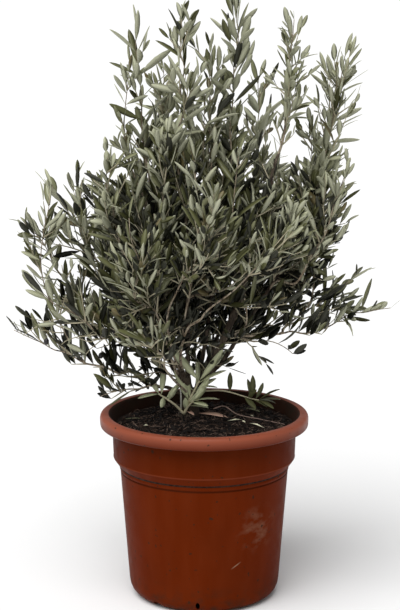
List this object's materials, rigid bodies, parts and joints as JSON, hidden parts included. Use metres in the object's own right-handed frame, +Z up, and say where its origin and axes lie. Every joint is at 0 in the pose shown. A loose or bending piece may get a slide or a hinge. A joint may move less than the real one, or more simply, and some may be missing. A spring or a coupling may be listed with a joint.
{
  "type": "potted olive tree",
  "caption": "Young bushy olive tree with many upright leafy shoots, growing in a round flared plastic nursery pot with a rolled rim, filled with bark mulch soil.",
  "frame": {"origin": "centre of the pot's flat round underside, which stands on the ground", "axes": "+Z up along the pot's axis, +X to the right, -Y towards the front of the plant"},
  "size_m": [0.836, 0.6994, 1.272],
  "materials": {
    "pot_plastic": "satin",
    "potting_soil": "matte",
    "bark": "matte",
    "foliage": "matte"
  },
  "bodies": {
    "root": {"back_left_1": "foliage", "back_left_tall_1": "foliage", "back_left_tall_2": "foliage", "back_low_1": "foliage", "back_middle_1": "foliage", "back_right_1": "foliage", "back_right_tall_1": "foliage", "back_right_tall_2": "foliage", "bough_back_left": "bark", "bough_back_right_tall": "bark", "bough_far_right_tall": "bark", "bough_left_low": "bark", "bough_left_tall": "bark", "bough_mid_left_tall": "bark", "bough_mid_right_tall": "bark", "bough_right_tall": "bark", "core_high_1": "foliage", "core_high_2": "foliage", "core_high_3": "foliage", "core_high_4": "foliage", "core_low_1": "foliage", "core_low_2": "foliage", "core_low_3": "foliage", "far_right_tall_1": "foliage", "far_right_tall_2": "foliage", "front_left_1": "foliage", "front_low_1": "foliage", "front_middle_1": "foliage", "front_right_1": "foliage", "leaning_sprig": "foliage", "left_hanging_1": "foliage", "left_leaning_1": "foliage", "left_lobe_1": "foliage", "left_lobe_2": "foliage", "left_low_1": "foliage", "left_low_2": "foliage", "left_mid_1": "foliage", "left_mid_2": "foliage", "left_shoulder_1": "foliage", "left_tall_1": "foliage", "left_tall_2": "foliage", "left_under_1": "foliage", "mid_left_tall_1": "foliage", "mid_left_tall_2": "foliage", "mid_right_tall_1": "foliage", "mid_right_tall_2": "foliage", "pot": "pot_plastic", "right_cluster_1": "foliage", "right_curved_1": "foliage", "right_hanging_1": "foliage", "right_low_1": "foliage", "right_low_2": "foliage", "right_tall_1": "foliage", "right_tall_2": "foliage", "soil": "potting_soil", "sprout": "foliage", "trunk": "bark"}
  },
  "joints": []
}
